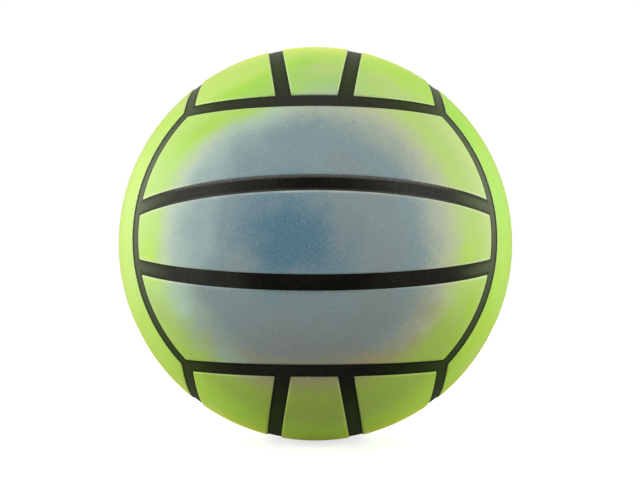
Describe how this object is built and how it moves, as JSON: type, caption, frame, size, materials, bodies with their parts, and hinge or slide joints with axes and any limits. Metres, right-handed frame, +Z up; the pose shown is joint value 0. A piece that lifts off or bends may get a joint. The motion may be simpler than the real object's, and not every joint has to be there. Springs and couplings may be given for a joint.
{
  "type": "playground ball",
  "caption": "Inflatable rubber playground ball with a panelled green and blue cover, recessed black channels between the panels and a pull-out needle valve.",
  "frame": {"origin": "centre of the ball", "axes": "+Z up, -Y the printed front, +X to the right of someone who looks at the front, +Y out along the valve's axis"},
  "size_m": [0.22, 0.2198, 0.22],
  "materials": {
    "cover_green": "semi-gloss lime green rubber",
    "cover_printed": "semi-gloss lime green rubber with a grainy blue-grey sprayed patch",
    "channel_rubber": "satin black rubber",
    "winding_yarn": "matt off-white nylon yarn",
    "bladder_rubber": "matt black butyl rubber",
    "valve_rubber": "matt black rubber"
  },
  "bodies": {
    "ball": {"bladder": "bladder_rubber", "winding": "winding_yarn", "carcass": "channel_rubber", "front_lower_panel": "cover_printed", "front_middle_panel": "cover_printed", "front_upper_panel": "cover_printed", "back_lower_panel": "cover_printed", "back_middle_panel": "cover_printed", "back_upper_panel": "cover_printed", "right_front_panel": "cover_green", "right_middle_panel": "cover_green", "right_rear_panel": "cover_green", "left_front_panel": "cover_green", "left_middle_panel": "cover_green", "left_rear_panel": "cover_green", "top_left_panel": "cover_green", "top_middle_panel": "cover_green", "top_right_panel": "cover_green", "bottom_left_panel": "cover_green", "bottom_middle_panel": "cover_green", "bottom_right_panel": "cover_green", "valve_seat": "valve_rubber"},
    "core": {"valve_core": "valve_rubber"}
  },
  "joints": [
    {"name": "valve_core_pull", "type": "slide", "parent": "ball", "child": "core", "axis": [0, 1, 0], "range_m": [0, 0.018]}
  ]
}
